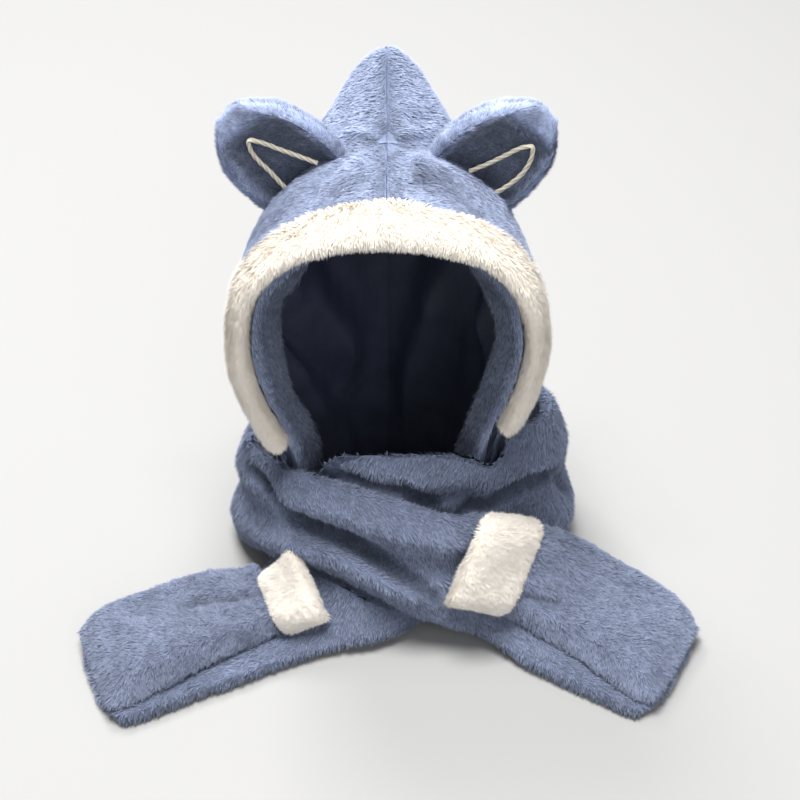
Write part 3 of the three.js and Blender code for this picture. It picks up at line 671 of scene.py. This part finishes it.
# Turned-in facing and lining
# Folds of the lining: start and end as shares back and up, then width and depth
LINING_FOLDS = {
    LEFT: (
        (0.26, 0.5, 0.78, 0.2, 0.09, 1.0),
        (0.24, 0.3, 0.72, 0.04, 0.07, 0.9),
        (0.55, 0.66, 0.95, 0.42, 0.07, 0.5),
    ),
    RIGHT: (
        (0.26, 0.62, 0.5, 0.3, 0.08, 0.8),
        (0.6, 0.5, 0.92, 0.12, 0.07, 0.7),
    ),
}
LINING_OVERLAP = 0.4  # how far each half reaches past the middle at the back seam
# The facing's shade is painted shade for the dark inside of the hood's opening
FACING_TUCK, FACING_PAINTED_SHADE = 13.0, 0.4  # how deep the facing lies under the hood's outside, and its shade


def fold_depth(side, u, v, start):
    depth = np.zeros_like(u)
    for a, b, c, d, width, deep in LINING_FOLDS[side]:
        du, dv = c - a, d - b
        along = np.clip(((u - a) * du + (v - b) * dv) / (du * du + dv * dv), 0, 1)
        away = np.hypot(u - a - along * du, v - b - along * dv)
        depth = np.maximum(depth, 1.7 * deep * LINING_FOLD * bell(away, width))
    fine = 1.6 * np.sin(34 * u + 21 * v + 3 * np.sin(9 * v + side)) + 1.1 * np.sin(15 * u - 47 * v + side)
    return np.maximum(depth + fine, 0) * smoothstep(u, start, start + 0.08) * smoothstep(1 - u, 0, 0.12)


def facing_end(v):
    return lerp(EDGE_SHARE, seam_place(v), 2 / 5)


def facing_skin(side):
    """The turned-in band: a roll that is thickest low at the sides and flat at its rear edge."""
    t = np.linspace(0.02, 1, 74)
    s = np.linspace(0, 1, 28)
    start = back_from_edge(side, t, np.full_like(t, 1.0))
    u = lerp(start[:, None], np.maximum(facing_end(t), start + 0.03)[:, None] + 0.02, s[None])
    v = np.broadcast_to(t[:, None], u.shape)
    outside = lerp(-FACING_TUCK, -HOOD_WALL - GAP, smoothstep(s, 0.7, 0.95))
    outside = np.broadcast_to(outside[None], u.shape)
    roll = np.sin(np.pi * np.minimum(s * 1.25 + 0.05, 1))[None] ** 0.7
    thick = 4 + (9 + 13 * smoothstep(1 - v, 0.12, 0.4)) * roll + 1.5 * np.sin(v * 23 + side)
    made = shell(hood_at(side, u, v, outside - thick), hood_at(side, u, v, outside))
    made.nap[: u.size] = hood_nap(side, u, v).reshape(-1, 3)
    # Painted shade inside the opening
    made.shade[: u.size] = FACING_PAINTED_SHADE
    return made


def lining_skin(side):
    t = np.linspace(0, 1, 80)
    start = facing_end(t)
    u = lerp(start[:, None] + 0.004, 1.0, np.linspace(0, 1, 60)[None])
    v = np.broadcast_to(t[:, None], u.shape)
    height = -HOOD_WALL - GAP - fold_depth(side, u, v, start[:, None])
    faces = (hood_at(side, u, v, h, apart=-LINING_OVERLAP) for h in (height - LINING_WALL, height))
    return shell(*faces)


for word, side in SIDES:
    piece(f"plush_facing_{word}", facing_skin(side), blue, [f"facing_{word}"],
          {"count": 15000, "seed": 61 + side, **{**BLUE_PILE, "length": 6.5}})
    cloth = piece(f"cloth_lining_{word}", lining_skin(side), lining, [f"lining_{word}"])

# Face trim
TRIM_START, TRIM_END = 0.075, 0.1  # where its ends lie along the front edge, from the neckline
TRIM_ROUND, TRIM_STEPS = 36, 210


def trim_skin():
    """A round band along the front edge, a little narrower over the forehead and tapered at both ends."""
    t = np.linspace(0, 1, TRIM_STEPS)
    edge = lerp(TRIM_START, 1 - TRIM_END, t)
    parts = []
    for side, own in ((LEFT, edge[edge < 0.5]), (RIGHT, edge[edge >= 0.5])):
        v = 1 - np.abs(1 - 2 * own)
        at = hood_skin(side, 0.0, v)
        parts.append((at, unit(hood_skin(side, 0.08, v) - at), hood_normal(side, 0.02, v), v))
    at, back, out, level = (np.concatenate([a, b]) for a, b in zip(*parts))
    angle = 2 * np.pi * np.linspace(0, 1, TRIM_ROUND + 1)[:-1, None]
    taper = np.minimum(1, 0.35 + 9 * np.sqrt(np.minimum(t, 1 - t)))[None]
    taper = taper * (1 - 0.12 * smoothstep(level, 0.6, 0.95))[None]
    behind = TRIM_MIDDLE + TRIM_WIDTH / 2 * taper * power(np.cos(angle), 0.8)
    proud = TRIM_THICKNESS / 2 * taper * power(np.sin(angle), 0.9) - HOOD_WALL * 0.3
    made = tube(at[None] + back[None] * behind[..., None] + out[None] * proud[..., None])
    made.nap[:-2] = unit(np.array([0.0, -0.55, -1.0]))
    return made


trim = trim_skin()
lumpy(trim, 1.2, 0.4, 71)
piece("plush_face_trim", trim, cream, ["face_trim"],
      {"count": 62000, "seed": 72, **CREAM_PILE}, rest_tone=0.5, sunk=1.6)

# Ears
EAR_HALF = np.array([[0.96], [1.0], [1.0], [0.96], [0.86], [0.66], [0.3]])
EAR_LEVEL, EAR_SINK = 0.7, 0.14
EAR_ROLL = 3.5  # how far the rolled rim stands up from the ear's front
CORD_ABOVE, CORD_TURN = 1.2, 7.5  # the cord's height over the pad, and the length of one of its turns
# place across of the left and of the right ear's cord, and up
PIPING = table("""
-0.48 -0.15 0.12
-0.31 -0.02 0.3
-0.17 0.07 0.47
-0.05 0.16 0.63
0.1 0.33 0.72
0.24 0.48 0.63
0.29 0.55 0.49
0.3 0.56 0.36
0.33 0.54 0.23
0.36 0.51 0.12
""")


def ear_at(side, a, b, forward):
    base = hood_skin(side, EAR_SEAM, EAR_LEVEL)
    out = hood_normal(side, EAR_SEAM, EAR_LEVEL)
    out = unit(out * [1, 0, 1])
    front = np.array([0, -1.0, 0])
    along = np.cross(out, front) * side
    half = EAR_WIDTH / 2 * column(EAR_HALF, 0, b)
    dish = EAR_CUP * (1 - a * a) * (1 - 0.6 * b * b)
    return (
        base
        + along * (a * half)[..., None]
        + out * ((b - EAR_SINK) * EAR_HEIGHT)[..., None]
        + front * (forward - dish)[..., None]
    )


def pad_height(a, b):
    """How far a pad swells, from its thin rim to its full middle."""
    body = np.sqrt(np.maximum(0, 1 - a**6)) * np.sqrt(np.maximum(0, 1 - b**8))
    return GAP / 2 + EAR_PAD * (0.18 + 0.82 * body)


def ear_pad(side, facing, cord_a, cord_b):
    """The front or back pad of an ear. The front one has a rolled rim, and short pile along its cord."""
    a = np.sin(np.linspace(-1, 1, 48) * np.pi / 2)[:, None]
    low = EAR_SINK - (7.6 * a * a + 5) / EAR_HEIGHT  # it reaches down into the round hood
    b = lerp(low, 1.0, np.sin(np.linspace(0, 1, 45) * np.pi / 2)[None])
    a = np.broadcast_to(a, b.shape)
    rim = np.maximum(np.abs(a), smoothstep(b, 0.2, 1.0)) ** 1.5
    height = pad_height(a, np.maximum(b, 0))
    # Painted shade low on the pad where it meets the hood; on the front, painted shade in the dish and a
    # painted highlight on the rolled rim
    shade = lerp(0.75, 1.0, smoothstep(b, 0.1, 0.3))
    if facing == FRONT:
        height = height + EAR_ROLL * bell(rim - 0.8, 0.16)
        shade = shade * (0.5 + 0.75 * smoothstep(rim, 0.5, 0.88))
    made = shell(ear_at(side, a, b, facing * height), ear_at(side, a, b, np.full_like(a, facing * GAP / 2)))
    grown = unit(ear_at(side, a, b + 0.02, a * 0) - ear_at(side, a, b - 0.02, a * 0)) + [0, 0.8, 0]
    made.nap[: a.size] = unit(grown).reshape(-1, 3)
    made.sink[: a.size] = (1 - 0.9 * smoothstep(np.maximum(np.abs(a), b), 0.86, 0.98)).ravel()
    made.shade[: a.size] = shade.ravel()
    if facing == FRONT:
        line = ear_at(side, cord_a[::8], cord_b[::8], pad_height(cord_a, cord_b)[::8])
        made.long = made.long * (1 - 0.6 * bell(away_from(made.points, line)[0], 5.5))
    return made


def cord_skin(side, cord_a, cord_b):
    """A cord of three twisted strands on the ear's front."""
    radius = PIPING_DIAMETER / 2
    line = ear_at(side, cord_a, cord_b, pad_height(cord_a, cord_b) + GAP + radius + CORD_ABOVE)
    steps = np.gradient(line, axis=0)
    heading = unit(steps)
    first = unit(np.cross(heading, [0, -1.0, 0]))
    second = np.cross(heading, first)
    turn = 2 * np.pi * np.linspace(0, 1, 13)[:-1, None]
    twist = np.cumsum(np.linalg.norm(steps, axis=1))[None] / CORD_TURN * 2 * np.pi
    strands = 0.5 + 0.5 * np.cos(3 * (turn - twist / 3))
    thick = radius * (0.84 + 0.22 * strands)
    sideways, forward = (thick * np.cos(turn))[..., None], (thick * np.sin(turn))[..., None]
    made = tube(line[None] + first[None] * sideways + second[None] * forward)
    # Painted shade between the strands, in the vertex colour's blue
    made.shade[: strands.size] = strands.ravel()
    return made


for word, side in SIDES:
    across = 0 if side == LEFT else 1
    cord_a, cord_b = (column(PIPING, k, np.linspace(0, 1, 216)) for k in (across, 2))
    for facing, face_word in ((FRONT, "front"), (REAR, "back")):
        made = ear_pad(side, facing, cord_a, cord_b)
        lumpy(made, 0.8, 0.5, 81 + side)
        piece(f"plush_ear_{face_word}_{word}", made, blue, [f"ear_{face_word}_{word}"],
              {"count": 19000, "seed": 91 + side + 3 * facing, **BLUE_PILE})
    piece(f"cord_ear_{word}", cord_skin(side, cord_a, cord_b), cord, [f"ear_piping_{word}"])

# Scarf
# lowX lowY lowZ highX highY highZ
LEFT_PATH = table("""
0.0 1.05 -0.07 0.0 0.86 0.72
-0.45 0.97 -0.07 -0.42 0.79 0.72
-0.82 0.64 -0.07 -0.77 0.53 0.73
-1.02 0.05 -0.07 -0.91 0.02 0.76
-0.97 -0.32 0.03 -0.88 -0.29 0.87
-0.79 -0.71 0.24 -0.7 -0.58 0.93
-0.53 -0.93 0.31 -0.43 -0.74 0.94
-0.26 -1.09 0.29 -0.12 -0.86 0.91
0.0 -1.26 0.22 0.18 -0.94 0.85
0.17 -1.33 0.17 0.44 -0.95 0.78
0.3 -1.36 0.14 0.67 -0.86 0.74
0.62 -1.42 0.05 0.98 -0.68 0.54
0.89 -1.62 0.0 1.28 -0.58 0.3
1.16 -1.82 0.0 1.6 -0.64 0.1
1.44 -2.04 0.0 1.92 -0.87 0.02
1.69 -2.21 0.0 2.14 -1.24 0.0
""")
RIGHT_PATH = table("""
0.0 1.05 -0.07 0.0 0.86 0.72
0.58 0.99 -0.07 0.54 0.8 0.77
1.02 0.64 -0.07 0.93 0.56 0.9
1.22 0.05 -0.07 1.07 0.03 1.04
1.14 -0.4 -0.07 1.0 -0.28 1.09
0.93 -0.66 -0.07 0.8 -0.42 1.13
0.68 -0.84 -0.07 0.56 -0.48 1.18
0.46 -0.96 -0.06 0.28 -0.52 1.17
0.26 -1.14 -0.04 0.0 -0.53 1.15
0.08 -1.32 -0.01 -0.29 -0.54 1.1
-0.11 -1.42 0.0 -0.54 -0.53 0.86
-0.32 -1.47 0.0 -0.68 -0.6 0.38
-0.63 -1.6 0.0 -0.91 -0.7 0.07
-0.94 -1.78 0.0 -1.25 -0.74 0.04
-1.25 -1.96 0.0 -1.58 -0.87 0.02
-1.53 -2.12 0.0 -1.89 -1.02 0.01
-1.79 -2.28 0.0 -2.12 -1.24 0.0
""")
RING = np.array([NECK_WIDTH / 2 + 1.4 * SCARF_THICKNESS, NECK_DEPTH / 2 + 1.4 * SCARF_THICKNESS, SCARF_WIDTH])


def scarf_edges(path, t):
    low, high = (np.stack([column(path, k + j, t) for j in range(3)], -1) * RING for k in (0, 3))
    rise = OFFSET + [0, 0, SCARF_THICKNESS / 2]
    return low + rise, high + rise


POCKET_LENGTH, POCKET_GAP, CUFF_WIDTH, CUFF_THICKNESS = 170, 12, 52, 15
CUFF_NEAR = -0.5  # where a cuff starts across the strip, whose edges are at -1 and 1
CUFF_SPARE, CUFF_RISE = 1.5, 0.5  # how far it reaches past the solid's sides, and how far it stands off
CUFF_CLEARANCE, SCARF_CLEARANCE = 0.6, 0.2  # above the floor
FLOOR_LEVEL, FLOOR_BARE = 40, 0.93  # below this height a downturned skin loses this share of its pile


def puffy_cuff(path, turn, far):
    """The padded cuff across a strip: a closed roll, full in its middle and narrow at its sewn ends."""
    t = np.linspace(0, 1, 400)
    low, high = scarf_edges(path, t)
    before_end = np.cumsum(np.linalg.norm(np.diff((low + high) / 2, axis=0), axis=1)[::-1])[::-1]
    angle = 2 * np.pi * np.linspace(0, 1, 41)[:-1, None]
    u = np.linspace(-1, 1, 90)[None]
    body = (1 - np.abs(u) ** 6) ** 0.35
    lengthwise = (CUFF_WIDTH / 2 + CUFF_SPARE) * (0.75 + 0.25 * body) * power(np.cos(angle), 0.6)
    place = np.interp(-(POCKET_LENGTH + CUFF_WIDTH / 2 + 1 - lengthwise), -before_end, t[:-1])
    w = lerp(CUFF_NEAR, far, (u + 1) / 2) + 0 * angle
    low, high = scarf_edges(path, place)
    ahead = scarf_edges(path, np.minimum(place + 0.005, 1))
    behind = scarf_edges(path, place - 0.005)
    heading = unit((ahead[0] + ahead[1] - behind[0] - behind[1]) / 2)
    across = unit(high - low)
    out = unit(np.cross(heading, across)) * turn
    face = SCARF_THICKNESS / 2 * np.sqrt(1 - np.abs(w) ** 6) + 0.7 * POCKET_GAP * (1 - u**6)
    height = face + CUFF_THICKNESS / 2 * (0.35 + 0.65 * body) * (1 + power(np.sin(angle), 0.75)) + CUFF_RISE
    ring = lerp(low, high, (w[..., None] + 1) / 2) + out * height[..., None]
    made = tube(ring)
    made.points[:, 2] = np.maximum(made.points[:, 2], CUFF_CLEARANCE)
    renormal(made)
    return made


def along_scarf(skin, path):
    """The way of the scarf's length at each point of a skin, and its place along and across."""
    t, w = np.linspace(0, 1, 240), np.linspace(-1, 1, 11)
    low, high = scarf_edges(path, t)
    cloth = lerp(low[:, None], high[:, None], (w[None, :, None] + 1) / 2)
    heading = unit(np.gradient((low + high) / 2, axis=0))
    tree = KDTree(cloth.shape[0] * cloth.shape[1])
    for k, p in enumerate(cloth.reshape(-1, 3)):
        tree.insert(p, k)
    tree.balance()
    near = np.array([tree.find(p)[1] for p in skin.points])
    row, across = near // len(w), near % len(w)
    return unit(0.55 * heading[row] + [0, 0, -1.0]), t[row], w[across]


def soft_floor(skin):
    """Little pile where a skin lies on the floor or is turned down to it."""
    down = smoothstep(-skin.normals[:, 2], 0.3, 0.8)
    skin.furry = skin.furry * (1 - FLOOR_BARE * down * (skin.points[:, 2] < FLOOR_LEVEL))


# Lines in the photograph, with each crease's width, depth, painted shade and shortening of the pile
CREASES = {
    "scarf_left": [
        ([(246, 462), (262, 490), (290, 518), (340, 538), (400, 573), (432, 592)], 6.5, 14, 0.6, 0.6),
        ([(238, 515), (262, 538), (300, 549), (345, 562)], 6, -4, 0.0, 0.0),
    ],
    "scarf_right": [
        ([(290, 464), (320, 472), (350, 482), (404, 494), (445, 515)], 7, 9, 0.62, 0.6),
        ([(462, 509), (490, 506), (510, 496), (530, 485), (556, 474), (577, 468)], 7, 14, 0.6, 0.6),
        ([(552, 470), (562, 480), (572, 492)], 5, 5, 0.4, 0.5),
        ([(400, 508), (440, 500), (480, 492)], 7, 3, 0.25, 0.3),
    ],
    "pocket_left": [
        ([(497, 584), (516, 594), (538, 600), (566, 604)], 5, 4, 0.3, 0.4),
        ([(560, 545), (600, 556), (640, 574)], 12, 3, 0.08, 0.0),
    ],
    "pocket_right": [
        ([(258, 594), (236, 598), (210, 600), (182, 606)], 5, 4, 0.3, 0.4),
        ([(200, 585), (160, 600), (125, 622)], 12, 3, 0.08, 0.0),
    ],
}

# Remesh size, smoothing rounds, fill, blades, and for the skin under them its tone and how deep it is sunk
KINDS = {
    "scarf": (4.4, 5, 0.6, 94000, 0.35, 3.0),
    "pocket": (3.3, 4, 0.5, 38000, 0.35, 1.2),
    "cuff": (None, None, 0.7, 26000, 0.6, 0.6),
}
# Painted shade: the strips and pockets darkened as a whole for how the light falls on them, lying low
PAINTED_SHADES = {"scarf_left": 0.66, "scarf_right": 0.66, "pocket_left": 0.69, "pocket_right": 0.61}
# Painted shade on the near edge of each strip
NEAR_EDGE_PAINTED_SHADE = 0.75
SEAM_CLOSING = 3.0  # how far each strip is drawn over at the back seam
# Per strip, the sign that turns its cuff outward and draws it over the back seam, and where its cuff ends
STRIPS = (("left", LEFT_PATH, 1, 0.96), ("right", RIGHT_PATH, -1, 0.57))

for word, path, turn, far in STRIPS:
    for kind, (voxel, rounds, fill, count, rest_tone, sunk) in KINDS.items():
        node, is_cuff = f"{kind}_{word}", kind == "cuff"
        made = puffy_cuff(path, turn, far) if is_cuff else remeshed(node, voxel, rounds)
        made.shade = made.shade * PAINTED_SHADES.get(node, 1)
        made.nap, place, across = along_scarf(made, path)
        if kind == "scarf":
            # Painted shade towards the strip's near edge
            made.shade = made.shade * lerp(1, NEAR_EDGE_PAINTED_SHADE, smoothstep(-across, 0.7, 1.0))
        lumpy(made, 1.6, 0.8, len(kind) + 5)
        if kind == "scarf":
            made.points[:, 0] += smoothstep(-place, -0.03, -0.005) * SEAM_CLOSING * turn
        for crease in CREASES.get(node, []):
            press(made, *crease)
        made.points[:, 2] = np.maximum(made.points[:, 2], SCARF_CLEARANCE)
        soft_floor(made)
        made.uv = np.stack([place, across / 2 + 0.5], 1)
        material, slot, pile = CREAM if is_cuff else BLUE
        piece(f"plush_{kind}_{word}", made, material, [node],
              {"count": count, "seed": 120 + len(kind) + len(word), **pile}, rest_tone, sunk)

# Floor, light
FLOOR_REACH = 8  # metres
FLOOR_GREY = 0.38
floor_mesh = bpy.data.meshes.new("floor")
corners = [(x * FLOOR_REACH, y * FLOOR_REACH, 0) for x, y in ((-1, -1), (1, -1), (1, 1), (-1, 1))]
floor_mesh.from_pydata(corners, [], [(0, 1, 2, 3)])
floor = bpy.data.objects.new("floor", floor_mesh)
scene.collection.objects.link(floor)
floor_material, _, _, shader = material_of("pale floor", 0.95, 0.0, (1, 1, 1), 0.1)
shader.inputs["Base Color"].default_value = (FLOOR_GREY, FLOOR_GREY, FLOOR_GREY, 1)
floor_mesh.materials.append(floor_material)

world = bpy.data.worlds.new("studio")
world.use_nodes = True
background = world.node_tree.nodes["Background"]
background.inputs["Color"].default_value = (0.96, 0.97, 1, 1)
background.inputs["Strength"].default_value = 0.3
scene.world = world


def area_light(name, place, aim, size, watts, colour):
    light = bpy.data.objects.new(name, bpy.data.lights.new(name, "AREA"))
    light.data.energy, light.data.size, light.data.color = watts, size, colour
    light.location = place
    light.rotation_mode = "QUATERNION"
    light.rotation_quaternion = (Vector(aim) - Vector(place)).to_track_quat("-Z", "Y")
    scene.collection.objects.link(light)


area_light("key", (-0.2, -0.1, 3.6), (0, -0.02, 0.15), 1.5, 205, (1, 0.99, 0.975))
area_light("rim", (-0.7, 1.3, 2.2), (0, 0, 0.25), 0.9, 44, (1, 0.99, 0.98))
area_light("fill", (0.6, -1.8, 1.5), (0, 0, 0.15), 1.2, 11, (0.97, 0.985, 1))
scene.view_settings.view_transform = "Standard"
